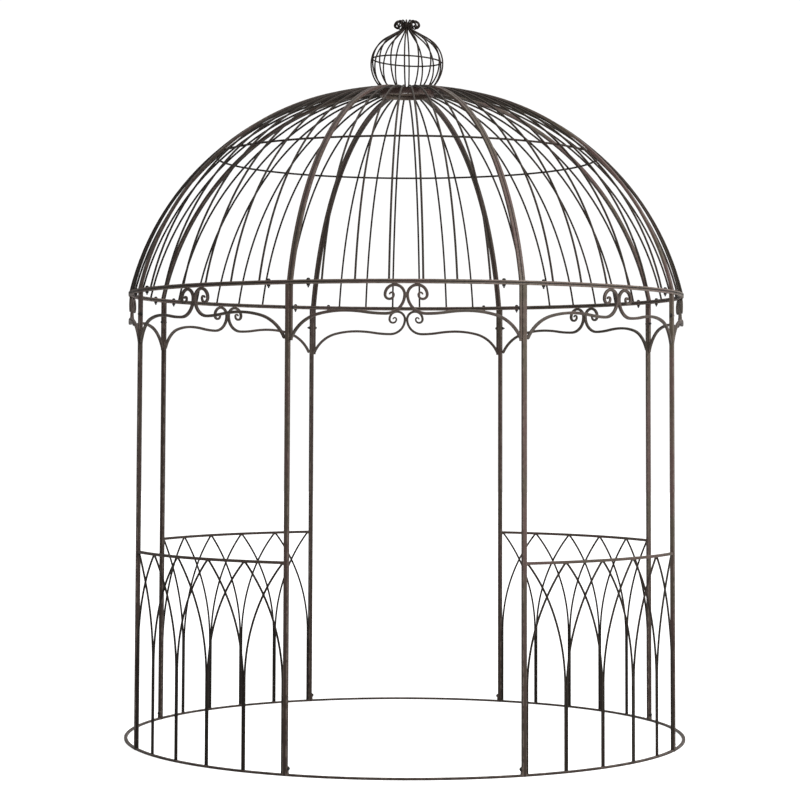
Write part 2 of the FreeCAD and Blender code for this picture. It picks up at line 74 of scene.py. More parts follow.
# Places read from the frame
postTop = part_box("front_left_post")[1].z
groundRadius = -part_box("front_sill_arc")[0].y - steel["ring"][0] / 2
eavesRadius = -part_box("front_frieze")[0].y - steel["ring"][0] / 2
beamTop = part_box("front_frieze")[1].z
beamHeight = beamTop - postTop
domeFoot = beamTop + beamHeight
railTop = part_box("front_left_railing")[1].z
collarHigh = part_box("crown_collar")[1]
collarRadius = collarHigh.x + jointGap + steel["band"][0]


def radial(angle):
    return Vector((math.cos(angle), math.sin(angle), 0))


def sideways(angle):
    return Vector((-math.sin(angle), math.cos(angle), 0))


def wallRadius(level):
    return groundRadius - (groundRadius - eavesRadius) * level / postTop


def wallPoint(angle, along, level, measuredAt, outward=0.0):
    # a point on the leaning wall, so far along it from the middle of its bay
    return radial(angle + along / measuredAt) * (wallRadius(level) + outward) + Vector((0, 0, level))


def steps(first, last, count):
    return [first + (last - first) * i / count for i in range(count + 1)]


def barSection(width, height, corner, cornerSteps=3):
    # closed outline as (across, out, corner mask), with a point in the middle of each flat
    outline = []
    for quarter, (a, b) in enumerate(((1, 1), (-1, 1), (-1, -1), (1, -1))):
        centre = (a * (width / 2 - corner), b * (height / 2 - corner))
        for turn in steps(0, math.pi / 2, cornerSteps):
            turn += quarter * math.pi / 2
            x, y = centre[0] + corner * math.cos(turn), centre[1] + corner * math.sin(turn)
            outline.append((x, y, mark["edge"]))
        flat = (0, b * height / 2) if quarter % 2 == 0 else (a * width / 2, 0)
        outline.append((flat[0], flat[1], mark["flat"]))
    return outline


def againstJoint(section, side):
    # the same outline with its corners on one side marked as lying against another piece, where painted shade
    # runs along the seam
    return [(a, b, mark["joint"] if corner and a * side > 0 else corner) for a, b, corner in section]


def rodSection(diameter, sides=12):
    turns = [2 * math.pi * i / sides for i in range(sides)]
    return [(diameter / 2 * math.cos(t), diameter / 2 * math.sin(t), mark["flat"]) for t in turns]


def newMesh():
    bm = bmesh.new()
    bm.verts.layers.float.new("cornerMask")
    return bm


def bridge(bm, first, second):
    count = len(first)
    for i in range(count):
        bm.faces.new((first[i], first[(i + 1) % count], second[(i + 1) % count], second[i]))


def sweep(bm, path, section, facing, closed=False, scales=None, easing=0.0007):
    # a bar along the path; facing is where the section's second side points, one vector or one a point
    mask = bm.verts.layers.float["cornerMask"]
    last = len(path) - 1
    rings = []

    def ring(i, scale, slide):
        ahead, behind = path[(i + 1) % (last + 1)], path[i - 1]
        if not closed:
            ahead, behind = path[min(i + 1, last)], path[max(i - 1, 0)]
        along = (ahead - behind).normalized()
        out = facing[i] if isinstance(facing, list) else facing
        out = (out - along * out.dot(along)).normalized()
        across = along.cross(out)
        centre = path[i] + along * slide
        made = []
        for a, b, corner in section:
            vert = bm.verts.new(centre + (across * a + out * b) * scale)
            vert[mask] = corner
            made.append(vert)
        rings.append(made)

    for i in range(last + 1):
        scale = scales[i] if scales else 1.0
        if closed or 0 < i < last:
            ring(i, scale, 0)
            continue
        half = max(max(abs(a), abs(b)) for a, b, _ in section) * scale
        inset = scale * (1 - easing / half)
        if i == 0:
            ring(i, inset, 0)
            ring(i, scale, easing)
        else:
            ring(i, scale, -easing)
            ring(i, inset, 0)
    for first, second in zip(rings, rings[1:]):
        bridge(bm, first, second)
    if closed:
        bridge(bm, rings[-1], rings[0])
    else:
        bm.faces.new(rings[0])
        bm.faces.new(rings[-1])


def lathe(bm, seat, axis, profile, sides=16, turn=0.0):
    # a turned piece from (radius, height) points, that stands on its seat along the axis
    frameOfSeat = Matrix.Translation(seat) @ axis.to_track_quat("Z", "X").to_matrix().to_4x4()
    mask = bm.verts.layers.float["cornerMask"]
    rings = []
    for radius, height in profile:
        made = []
        for i in range(sides):
            angle = turn + 2 * math.pi * i / sides
            point = Vector((radius * math.cos(angle), radius * math.sin(angle), height))
            vert = bm.verts.new(frameOfSeat @ point)
            vert[mask] = mark["turned"]
            made.append(vert)
        rings.append(made)
    for first, second in zip(rings, rings[1:]):
        bridge(bm, first, second)
    bm.faces.new(rings[0])
    bm.faces.new(rings[-1])


lumps = {
    "depth": 0.16,  # share of a bead's own size
    "grain": 1.7,
    "spread": 90,  # sets neighbouring beads apart
}


def weld(bm, place, along, out, length, width, height):
    # a small lumpy bead; along and out set how it lies
    out = (out - along * out.dot(along)).normalized()
    lie = Matrix((along.normalized(), along.cross(out).normalized(), out)).transposed().to_4x4()
    size = Matrix.Diagonal((length / 2, width / 2, height, 1))
    ball = bmesh.ops.create_icosphere(bm, subdivisions=2, radius=1, matrix=Matrix.Identity(4))
    mask = bm.verts.layers.float["cornerMask"]
    for vert in ball["verts"]:
        lump = 1 + lumps["depth"] * noise.noise(vert.co * lumps["grain"] + place * lumps["spread"])
        vert.co = Matrix.Translation(place) @ lie @ size @ (vert.co * lump)
        vert[mask] = mark["bead"]


def makePiece(name, bm, material, nodes, smoothTo=34):
    bmesh.ops.recalc_face_normals(bm, faces=bm.faces)
    mesh = bpy.data.meshes.new(name)
    bm.to_mesh(mesh)
    bm.free()
    mesh.materials.append(material)
    mesh.shade_smooth()
    mesh.set_sharp_from_angle(angle=math.radians(smoothTo))
    piece = bpy.data.objects.new(name, mesh)
    bpy.context.scene.collection.objects.link(piece)
    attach(piece, "root")
    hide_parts(*nodes)
    return piece


# Materials

def newGroup(name, inputs, outputs):
    group = bpy.data.node_groups.new(name, "ShaderNodeTree")
    for label, kind, value in inputs:
        socket = group.interface.new_socket(label, in_out="INPUT", socket_type=kind)
        socket.default_value = value
    for label, kind in outputs:
        group.interface.new_socket(label, in_out="OUTPUT", socket_type=kind)
    return group, group.nodes.new("NodeGroupInput"), group.nodes.new("NodeGroupOutput")


def addNode(tree, kind, **values):
    node = tree.nodes.new(kind)
    for key, value in values.items():
        setattr(node, key, value)
    return node


def addMath(tree, operation, first, second):
    node = addNode(tree, "ShaderNodeMath", operation=operation, use_clamp=True)
    for socket, value in zip(node.inputs, (first, second)):
        if isinstance(value, bpy.types.NodeSocket):
            tree.links.new(value, socket)
        else:
            socket.default_value = value
    return node.outputs[0]


def addNoise(tree, coordinates, scale, detail, roughness=0.5):
    node = addNode(tree, "ShaderNodeTexNoise")
    node.inputs["Detail"].default_value = detail
    node.inputs["Roughness"].default_value = roughness
    tree.links.new(coordinates, node.inputs["Vector"])
    if isinstance(scale, bpy.types.NodeSocket):
        tree.links.new(scale, node.inputs["Scale"])
    else:
        node.inputs["Scale"].default_value = scale
    return node.outputs["Fac"]


def addRange(tree, value, low, high, toLow=0.0, toHigh=1.0):
    node = addNode(tree, "ShaderNodeMapRange", interpolation_type="SMOOTHSTEP")
    tree.links.new(value, node.inputs["Value"])
    for label, number in (("From Min", low), ("From Max", high), ("To Min", toLow), ("To Max", toHigh)):
        node.inputs[label].default_value = number
    return node.outputs["Result"]


def addMix(tree, mask, first, second):
    node = addNode(tree, "ShaderNodeMix", data_type="RGBA")
    tree.links.new(mask, node.inputs["Factor"])
    for socket, value in zip((node.inputs[6], node.inputs[7]), (first, second)):
        if isinstance(value, bpy.types.NodeSocket):
            tree.links.new(value, socket)
        else:
            socket.default_value = (*value, 1)
    return node.outputs[2]


effects = {
    "patchRange": (0.36, 0.64),
    "blotchScale": 62,
    "blotchRange": (0.40, 0.66),
    "footShadeHeight": 1.3,
    "litSideDirection": (0.9, -0.45, 0),  # towards the lit side, away from the painted side shade
    "sideShadeRange": (-1.4, 1.3),  # from the most shaded place to the most lit one, that way
    "wearScale": 34,
    "wearRange": (0.42, 0.62),
    "wearCorner": (0.45, 1.0),
    "shadeReach": (-0.98, -0.75),  # from a joint's mark to where its line has faded out
    "shadeDepth": 0.90,
    "dustScale": 90,
    "dustRange": (0.3, 0.7),
    "dustLeast": 0.35,
    "dustSlope": (0.35, 1.0),
}


def buildMottle():
    # cloudy patches, brush-sized blotches, the fine skin of sprayed paint, how near the ground it is, for
    # painted shade darker towards the foot, and how far round to the left and back it is, for painted shade
    # on that side
    tree, given, result = newGroup(
        "paintMottle",
        [("Patch Scale", "NodeSocketFloat", 5.0), ("Skin Scale", "NodeSocketFloat", 600.0)],
        [("Patches", "NodeSocketFloat"), ("Blotches", "NodeSocketFloat"), ("Skin", "NodeSocketFloat"),
         ("Low", "NodeSocketFloat"), ("Side Shade", "NodeSocketFloat")])
    place = addNode(tree, "ShaderNodeTexCoord").outputs["Object"]
    patches = addNoise(tree, place, given.outputs["Patch Scale"], 3)
    blotches = addNoise(tree, place, effects["blotchScale"], 4, 0.62)
    skin = addNoise(tree, place, given.outputs["Skin Scale"], 2)
    tree.links.new(addRange(tree, patches, *effects["patchRange"]), result.inputs["Patches"])
    tree.links.new(addRange(tree, blotches, *effects["blotchRange"]), result.inputs["Blotches"])
    tree.links.new(skin, result.inputs["Skin"])
    # painted shade: full at the ground, fading out at the foot-shade height
    height = addNode(tree, "ShaderNodeSeparateXYZ")
    tree.links.new(place, height.inputs[0])
    low = addRange(tree, height.outputs["Z"], 0.0, effects["footShadeHeight"], 1.0, 0.0)
    tree.links.new(low, result.inputs["Low"])
    # painted shade: darker to the left and back, lighter to the right and front, as the light falls
    toLitSide = addNode(tree, "ShaderNodeVectorMath", operation="DOT_PRODUCT")
    toLitSide.inputs[1].default_value = effects["litSideDirection"]
    tree.links.new(place, toLitSide.inputs[0])
    sideShadeMask = addRange(tree, toLitSide.outputs["Value"], *effects["sideShadeRange"], 1.0, 0.0)
    tree.links.new(sideShadeMask, result.inputs["Side Shade"])
    return tree


def buildWearAndSheen():
    # paint rubbed thin along the corners, in broken lengths; on the eaves bars, brighter and over more of the
    # corners, it is also a painted highlight along the edges
    tree, given, result = newGroup(
        "cornerWearAndSheen",
        [("Corner", "NodeSocketFloat", 0.0), ("Reach", "NodeSocketFloat", 0.5)],
        [("Mask", "NodeSocketFloat")])
    place = addNode(tree, "ShaderNodeTexCoord").outputs["Object"]
    broken = addRange(tree, addNoise(tree, place, effects["wearScale"], 4, 0.6), *effects["wearRange"])
    corner = addRange(tree, given.outputs["Corner"], *effects["wearCorner"])
    mask = addMath(tree, "MULTIPLY", corner, addMath(tree, "MULTIPLY", broken, given.outputs["Reach"]))
    tree.links.new(mask, result.inputs["Mask"])
    return tree


def buildJointShade():
    # painted shade: a dark line where two pieces lie against one another, where the seam falls in shade
    tree, given, result = newGroup(
        "jointShade",
        [("Corner", "NodeSocketFloat", 0.0)],
        [("Mask", "NodeSocketFloat")])
    line = addRange(tree, given.outputs["Corner"], *effects["shadeReach"], effects["shadeDepth"], 0.0)
    tree.links.new(line, result.inputs["Mask"])
    return tree


def buildDust():
    # pale dust that settles on what faces up
    tree, given, result = newGroup(
        "settledDust",
        [("Amount", "NodeSocketFloat", 0.4)],
        [("Mask", "NodeSocketFloat")])
    place = addNode(tree, "ShaderNodeTexCoord").outputs["Object"]
    normal = addNode(tree, "ShaderNodeSeparateXYZ")
    tree.links.new(addNode(tree, "ShaderNodeNewGeometry").outputs["Normal"], normal.inputs[0])
    facingUp = addRange(tree, normal.outputs["Z"], *effects["dustSlope"])
    specks = addNoise(tree, place, effects["dustScale"], 5, 0.65)
    uneven = addRange(tree, specks, *effects["dustRange"], effects["dustLeast"], 1.0)
    mask = addMath(tree, "MULTIPLY", facingUp, addMath(tree, "MULTIPLY", uneven, given.outputs["Amount"]))
    tree.links.new(mask, result.inputs["Mask"])
    return tree


mottle, wearAndSheen, jointShade, dust = buildMottle(), buildWearAndSheen(), buildJointShade(), buildDust()


def placeGroup(tree, group, **values):
    node = addNode(tree, "ShaderNodeGroup", node_tree=group)
    for label, value in values.items():
        node.inputs[label.replace("_", " ")].default_value = value
    return node


def makePaint(name, look):
    material = bpy.data.materials.new(name)
    material.use_nodes = True
    tree = material.node_tree
    shader = tree.nodes["Principled BSDF"]
    texture = placeGroup(tree, mottle, Patch_Scale=look["patchScale"], Skin_Scale=look["skinScale"])
    edgeWearAndSheen = placeGroup(tree, wearAndSheen, Reach=look["wearAndSheen"])
    settled = placeGroup(tree, dust, Amount=look["dust"])
    corner = addNode(tree, "ShaderNodeAttribute", attribute_name="cornerMask")
    tree.links.new(corner.outputs["Fac"], edgeWearAndSheen.inputs["Corner"])
    seamShadeNode = placeGroup(tree, jointShade)
    tree.links.new(corner.outputs["Fac"], seamShadeNode.inputs["Corner"])
    colour = addMix(tree, texture.outputs["Patches"], look["warm"], look["cool"])
    thin = addMath(tree, "MULTIPLY", texture.outputs["Blotches"], look["blotches"])
    colour = addMix(tree, thin, colour, look["deep"])
    # painted shade: darker towards the ground, where less light reaches
    footShade = addMath(tree, "MULTIPLY", texture.outputs["Low"], look["footShade"])
    colour = addMix(tree, footShade, colour, look["deep"])
    # painted shade on the left and back
    sideShadeAmount = addMath(tree, "MULTIPLY", texture.outputs["Side Shade"], look["sideShadeAmount"])
    colour = addMix(tree, sideShadeAmount, colour, look["deep"])
    # worn edges; on the eaves bars also a painted highlight
    colour = addMix(tree, edgeWearAndSheen.outputs["Mask"], colour, look["edgeWearAndSheen"])
    colour = addMix(tree, settled.outputs["Mask"], colour, look["dustColour"])
    # painted shade along the seams
    colour = addMix(tree, seamShadeNode.outputs["Mask"], colour, look["seamShadeColour"])
    tree.links.new(colour, shader.inputs["Base Color"])
    smooth, coarse = look["roughness"] - look["smoother"], look["roughness"] + look["coarser"]
    rough = addRange(tree, texture.outputs["Blotches"], 0, 1, smooth, coarse)
    tree.links.new(rough, shader.inputs["Roughness"])
    shader.inputs["Specular IOR Level"].default_value = look["gloss"]
    bump = addNode(tree, "ShaderNodeBump")
    bump.inputs["Strength"].default_value = look["skinStrength"]
    bump.inputs["Distance"].default_value = look["skinHeight"]
    tree.links.new(texture.outputs["Skin"], bump.inputs["Height"])
    tree.links.new(bump.outputs["Normal"], shader.inputs["Normal"])
    return material


tubeLook = {
    "warm": (0.092, 0.057, 0.051),
    "cool": (0.076, 0.063, 0.045),
    "deep": (0.025, 0.0155, 0.0115),
    "edgeWearAndSheen": (0.150, 0.118, 0.098),
    "dustColour": (0.170, 0.142, 0.120),
    "patchScale": 4.5,
    "skinScale": 620,
    "seamShadeColour": (0.006, 0.005, 0.004),
    "blotches": 0.25,
    "footShade": 0.92,  # how much painted shade darkens it at the ground
    "sideShadeAmount": 0.92,  # how much painted shade darkens the left and back
    "wearAndSheen": 0.60,
    "dust": 0.15,
    "roughness": 0.55,
    "smoother": 0.07,  # how far the roughness runs below and above its middle
    "coarser": 0.08,
    "gloss": 0.20,
    "skinStrength": 0.25,
    "skinHeight": 0.0004,
}
rodLook = dict(tubeLook, warm=(0.030, 0.021, 0.017), cool=(0.027, 0.022, 0.016),
               deep=(0.009, 0.007, 0.006), footShade=0.4, sideShadeAmount=0.7, wearAndSheen=0.2, dust=0.25, gloss=0.10)
# eaves bars: their brighter, fuller rubbed edges are partly wear and partly a painted highlight where the
# edges catch the light from above
ringLook = dict(tubeLook, warm=(0.110, 0.077, 0.068), cool=(0.098, 0.080, 0.062),
                edgeWearAndSheen=(0.230, 0.185, 0.160), wearAndSheen=0.85, sideShadeAmount=0.50)
scrollLook = dict(tubeLook, warm=(0.058, 0.041, 0.036), cool=(0.051, 0.043, 0.034),
                  wearAndSheen=0.50, sideShadeAmount=0.40)
boltLook = dict(tubeLook, warm=(0.018, 0.014, 0.013), cool=(0.016, 0.014, 0.012),
                deep=(0.008, 0.007, 0.006), edgeWearAndSheen=(0.09, 0.075, 0.065), dust=0.15, roughness=0.48)
weldLook = dict(tubeLook, warm=(0.070, 0.052, 0.044), cool=(0.062, 0.050, 0.040), wearAndSheen=0.3)

tubePaint = makePaint("tubePaint", tubeLook)
ringPaint = makePaint("ringPaint", ringLook)
rodPaint = makePaint("rodPaint", rodLook)
scrollPaint = makePaint("scrollPaint", scrollLook)
boltPaint = makePaint("boltPaint", boltLook)
weldPaint = makePaint("weldPaint", weldLook)
print("paints ready")


def levelArc(angle, half, radius, level, count):
    turns = steps(angle - half, angle + half, count)
    path = [radial(t) * radius + Vector((0, 0, level)) for t in turns]
    return path, [radial(t) for t in turns]


def levelBar(bm, angle, half, radius, level, section, count=24):
    path, facing = levelArc(angle, half, radius, level, count)
    sweep(bm, path, section, facing)


def uprightPath(angle, shift, bottom, top, count):
    # a line beside the post's own, so far to its side, that leans with the wall
    side = sideways(angle) * shift
    levels = steps(bottom, top, count)
    return [radial(angle) * wallRadius(z) + side + Vector((0, 0, z)) for z in levels]


# Sections lie with their first side across the wall's face, so a level bar's are height, then width
def turnedSection(width, height, corner):
    return barSection(height, width, corner)


postSection = barSection(*steel["post"])
ringSection = turnedSection(*steel["ring"])
beamSection = againstJoint(ringSection, -1)
domeFootSection = againstJoint(ringSection, 1)
railSection = turnedSection(*steel["rail"])
ribSection = barSection(*steel["rib"])
hangerSection = barSection(*steel["hanger"])
scrollSection = barSection(*steel["scroll"])
bandSection = turnedSection(*steel["band"])
rod = steel["rod"]
postHalf = steel["post"][0] / 2


# Posts

postFoot = 0.0001  # clear of the floor's face


def makePosts():
    for name, degrees in postAngles.items():
        angle = math.radians(degrees)
        bm = newMesh()
        sweep(bm, uprightPath(angle, 0, postFoot, postTop, 16), postSection, radial(angle))
        makePiece(name.replace("_post", "") + "PostTube", bm, tubePaint, [name])


makePosts()
print("posts made")


# Doorway ground arcs
sill = {
    "tabHeight": 0.040,
    "tabThickness": 0.004,
    "tabCorner": 0.005,
    "weld": (0.0135, 0.0055, 0.0022),  # the bead's length, width and height, as in the next pieces
    "weldStand": 0.0006,
}


def tabOutline(width, height, corner):
    # (across, up) outline with two rounded top corners
    outline = [(-width / 2, 0), (width / 2, 0)]
    for side, first in ((1, 0), (-1, math.pi / 2)):
        for turn in steps(first, first + math.pi / 2, 4):
            outline.append((side * (width / 2 - corner) + corner * math.cos(turn),
                            height - corner + corner * math.sin(turn)))
    return outline


def plate(bm, outline, thickness, place, across, up, through, edge=0.0006):
    # a flat plate with eased edges, centred on its place through its thickness
    mask = bm.verts.layers.float["cornerMask"]
    middle = Vector((sum(a for a, _ in outline), sum(b for _, b in outline))) / len(outline)
    rings = []
    for shrink, offset in ((edge, -thickness / 2), (0, -thickness / 2 + edge),
                           (0, thickness / 2 - edge), (edge, thickness / 2)):
        made = []
        for a, b in outline:
            inward = (middle - Vector((a, b))).normalized() * shrink
            vert = bm.verts.new(place + across * (a + inward.x) + up * (b + inward.y) + through * offset)
            vert[mask] = mark["edge"]
            made.append(vert)
        rings.append(made)
    for first, second in zip(rings, rings[1:]):
        bridge(bm, first, second)
    bm.faces.new(rings[0])
    bm.faces.new(rings[-1])


def makeSills():
    width, height, _ = steel["ring"]
    half = halfBay - math.asin((postHalf + jointGap + sill["tabThickness"] / 2) / groundRadius)
    for bay, degrees in doorBays.items():
        angle = math.radians(degrees)
        bm = newMesh()
        levelBar(bm, angle, half, groundRadius, height / 2, ringSection)
        for side in (-1, 1):
            post = angle + side * halfBay
            shift = -side * (postHalf + jointGap + sill["tabThickness"] / 2)
            foot = radial(post) * groundRadius + sideways(post) * shift
            plate(bm, tabOutline(width, sill["tabHeight"], sill["tabCorner"]), sill["tabThickness"],
                  foot, radial(post), upward, sideways(post))
            stand = sill["tabThickness"] / 2 + sill["weldStand"]
            bead = foot - sideways(post) * side * stand + upward * height
            weld(bm, bead, radial(post), -sideways(post) * side + upward, *sill["weld"])
        makePiece(bay + "SillArc", bm, tubePaint, [bay + "_sill_arc"])


makeSills()
print("doorway ground arcs made")


# Railings
railing = {
    "gaps": 5,
    "split": 0.360,  # where the paired uprights part
    "crossing": 0.0031,  # how far crossing arches stand off the wall's middle
    "archSteps": 22,
    "rodBite": 0.001,  # depth that rods run into the bars over and under them
    "topWeld": (0.016, 0.008, 0.0035),
    "footWeld": (0.011, 0.0095, 0.0022),
    "pairWeld": (0.012, 0.004, 0.0018),
    "pairWeldBelow": 0.012,  # under the place where a pair parts
    "pairWeldSeat": 0.32,  # share of a rod's diameter
    "postWeld": (0.005, 0.0016),  # width and height
    "railWeldLength": 0.010,
    "ringWeldLength": 0.008,
    "postWeldStand": 0.0008,
}


def archPath(angle, start, target, side, wall):
    # an upright that leans over in one arc to the next station under the handrail
    foot = steel["ring"][1] - railing["rodBite"]
    split, top = railing["split"], railTop - steel["rail"][1] + railing["rodBite"]
    run, rise = abs(target - start), top + steel["rail"][1] / 2 - split
    radius = (run ** 2 + rise ** 2) / (2 * run)
    path = [wallPoint(angle, start, z, wall) for z in steps(foot, split, 5)][:-1]
    last = math.asin((top - split) / radius)
    for turn in steps(0, last, railing["archSteps"]):
        along = start + side * radius * (1 - math.cos(turn))
        stand = side * railing["crossing"] * math.sin(math.pi * min(1.0, turn / last))
        path.append(wallPoint(angle, along, split + radius * math.sin(turn), wall, stand))
    return path


def makeRailings():
    gaps, wall = railing["gaps"], groundRadius
    bayLength = 2 * halfBay * wall
    end = bayLength / 2 - postHalf - jointGap - rod / 2 - weldBite
    stations = [-end] + [(i / gaps - 0.5) * bayLength for i in range(1, gaps)] + [end]
    railHeight = steel["rail"][1]
    ringHalf = halfBay - math.asin((postHalf + jointGap) / (groundRadius - steel["ring"][0] / 2))
    railRadius = wallRadius(railTop - railHeight / 2)
    railHalf = halfBay - math.asin((postHalf + jointGap) / (railRadius - steel["rail"][0] / 2))
    for bay, degrees in railedBays.items():
        angle = math.radians(degrees)
        bars, rods, beads = newMesh(), newMesh(), newMesh()
        levelBar(bars, angle, ringHalf, groundRadius, steel["ring"][1] / 2, ringSection)
        levelBar(bars, angle, railHalf, railRadius, railTop - railHeight / 2, railSection)
        for i, station in enumerate(stations):
            paired = 0 < i < gaps
            spot = wallPoint(angle, station, railTop - railHeight, wall)
            weld(beads, spot, sideways(angle), -upward, *railing["topWeld"])
            for side in (-1, 1):
                if not 0 <= i + side <= gaps:
                    continue
                start = station + (side * (rod + jointGap) / 2 if paired else 0)
                path = archPath(angle, start, stations[i + side], side, wall)
                out = [Vector((p.x, p.y, 0)) for p in path]
                sweep(rods, path, rodSection(rod), out)
                foot = path[0] + upward * railing["rodBite"]
                weld(beads, foot, sideways(angle), upward, *railing["footWeld"])
            if paired:
                for level in (railing["split"] - railing["pairWeldBelow"], railing["split"] / 2):
                    seam = wallPoint(angle, station, level, wall, rod * railing["pairWeldSeat"])
                    weld(beads, seam, upward, radial(angle), *railing["pairWeld"])
        for side in (-1, 1):
            post = angle + side * halfBay
            for level, size in ((railTop - railHeight / 2, railing["railWeldLength"]),
                                (steel["ring"][1] / 2, railing["ringWeldLength"])):
                beside = sideways(post) * side * (postHalf + railing["postWeldStand"])
                spot = radial(post) * wallRadius(level) - beside
                for out in (1, -1):
                    lift = radial(post) * out * steel["rail"][0] / 2
                    weld(beads, spot + lift + upward * level, upward,
                         radial(post) * out - sideways(post) * side, size, *railing["postWeld"])
        node = bay + "_railing"
        makePiece(bay + "RailingBars", bars, tubePaint, [node])
        makePiece(bay + "RailingRods", rods, rodPaint, [node])
        makePiece(bay + "RailingWelds", beads, weldPaint, [node])


makeRailings()
print("railings made")


# Friezes
frieze = {
    "hangerLength": 0.225,
    "back": 0.075,  # radii of the scroll's turns
    "head": 0.039,
    "turn": 0.0175,
    "eye": 0.0085,
    "shoulderRise": 0.013,
    "shoulderReach": 0.1685,
    "shoulderRadius": 0.430,
    "shoulderRun": 0.110,
    "haunch": 0.170,
    "tipScale": 0.55,  # the bar is drawn out thin at its eye
    "tipPoints": 26,  # points of the path over which it gets its full size back
    "hangerWeld": (0.005, 0.002),  # width and height
    "endWeld": (0.015, 0.012, 0.003),
    "endWeldBack": 0.003,
    "crestWeld": (0.012, 0.004, 0.0014),
    "crestWeldBelow": 0.0008,
    "heartWeld": (0.022, 0.0045, 0.0016),
    "heartWeldSink": 0.0012,
}


def scrollArcs(endAlong):
    # (centre, radius, first angle, last angle) from the eye to the post, flat on the wall
    bar = steel["scroll"][0]
    back, head, turn, eye = (frieze[k] for k in ("back", "head", "turn", "eye"))
    low = postTop + weldBite - bar / 2 - head - back
    backCentre = (bar / 2 - weldBite / 2 + back, low + back)
    headCentre = (backCentre[0] - back + head, backCentre[1])
    turnCentre = (headCentre[0] + head - turn, backCentre[1])
    eyeCentre = (turnCentre[0] - turn + eye, backCentre[1])
    halfReach, halfRise = frieze["shoulderReach"] / 2, frieze["shoulderRise"] / 2
    sway = (halfReach ** 2 + halfRise ** 2) / (2 * halfRise)
    tilt = math.degrees(math.asin(halfReach / sway))
    peak = (backCentre[0] + frieze["shoulderReach"], low + frieze["shoulderRise"])
    flat, haunch = frieze["shoulderRadius"], frieze["haunch"]
    lean = math.degrees(math.asin(frieze["shoulderRun"] / flat))
    leanSin, leanCos = math.sin(math.radians(lean)), math.cos(math.radians(lean))
    shoulder = (peak[0] + flat * leanSin, peak[1] - flat + flat * leanCos)
    haunchCentre = (shoulder[0] - haunch * leanSin, shoulder[1] - haunch * leanCos)
    fall = math.degrees(math.acos((endAlong - haunchCentre[0]) / haunch))
    return [
        (eyeCentre, eye, 0, 180, 10),
        (turnCentre, turn, 180, 360, 14),
        (headCentre, head, 0, 180, 18),
        (backCentre, back, 180, 270, 12),
        ((backCentre[0], low + sway), sway, 270, 270 + tilt, 5),
        ((peak[0], peak[1] - sway), sway, 90 + tilt, 90, 5),
        ((peak[0], peak[1] - flat), flat, 90, 90 - lean, 5),
        (haunchCentre, haunch, 90 - lean, fall, 12),
    ]


def scrollPath(angle, side, endAlong):
    path = []
    for (x, z), radius, first, last, count in scrollArcs(endAlong):
        for turn in steps(math.radians(first), math.radians(last), count)[1 if path else 0:]:
            along = x + radius * math.cos(turn)
            path.append(wallPoint(angle, side * along, z + radius * math.sin(turn), eavesRadius))
    return path


def makeFriezes():
    bar, width = steel["scroll"][0], steel["ring"][0]
    hanger = steel["hanger"][0]
    tip = frieze["tipScale"]
    for bay, degrees in {**doorBays, **railedBays}.items():
        angle = math.radians(degrees)
        doorway = bay in doorBays
        beam, scrolls, beads = newMesh(), newMesh(), newMesh()
        if doorway:
            hangers = newMesh()
            half = halfBay - math.asin((postHalf + jointGap) / (eavesRadius - width / 2))
            end = halfBay * eavesRadius - postHalf - jointGap - hanger / 2
        else:
            half = halfBay + math.asin(postHalf / eavesRadius)
            end = halfBay * eavesRadius - postHalf - jointGap - bar / 2
        levelBar(beam, angle, half, eavesRadius, postTop + beamHeight / 2, beamSection)
        for side in (-1, 1):
            post = angle + side * halfBay
            if doorway:
                shift = -side * (postHalf + jointGap + hanger / 2)
                line = uprightPath(post, shift, postTop - frieze["hangerLength"], postTop + weldBite, 6)
                sweep(hangers, line, againstJoint(hangerSection, side), radial(post))
                corner = line[-1] - sideways(post) * side * hanger / 2
                away = -sideways(post) * side - upward
                weld(beads, corner, radial(post), away, hanger, *frieze["hangerWeld"])
            path = scrollPath(angle, side, end)
            scales = [min(1.0, tip + (1 - tip) * i / frieze["tipPoints"]) for i in range(len(path))]
            out = [Vector((p.x, p.y, 0)) for p in path]
            sweep(scrolls, path, scrollSection, out, scales=scales)
            across = sideways(angle)
            along = path[-2] - path[-1]
            seat = path[-1] + along.normalized() * frieze["endWeldBack"]
            weld(beads, seat, upward, across * -side, *frieze["endWeld"])
            crestLevel = postTop - frieze["crestWeldBelow"]
            crest = wallPoint(angle, side * (frieze["head"] + bar / 2), crestLevel, eavesRadius)
            for face in (-1, 1):
                outer = crest + radial(angle) * face * bar / 2
                weld(beads, outer, across, radial(angle) * face, *frieze["crestWeld"])
        heart = postTop - bar / 2 - frieze["head"]
        for face in (-1, 1):
            seam = wallPoint(angle, 0, heart, eavesRadius, face * (bar / 2 - frieze["heartWeldSink"]))
            weld(beads, seam, upward, radial(angle) * face, *frieze["heartWeld"])
        node = bay + "_frieze"
        makePiece(bay + "FriezeBeam", beam, ringPaint, [node])
        if doorway:
            makePiece(bay + "FriezeHangers", hangers, tubePaint, [node])
        makePiece(bay + "FriezeScrolls", scrolls, scrollPaint, [node])
        makePiece(bay + "FriezeWelds", beads, weldPaint, [node])


makeFriezes()
print("friezes made")


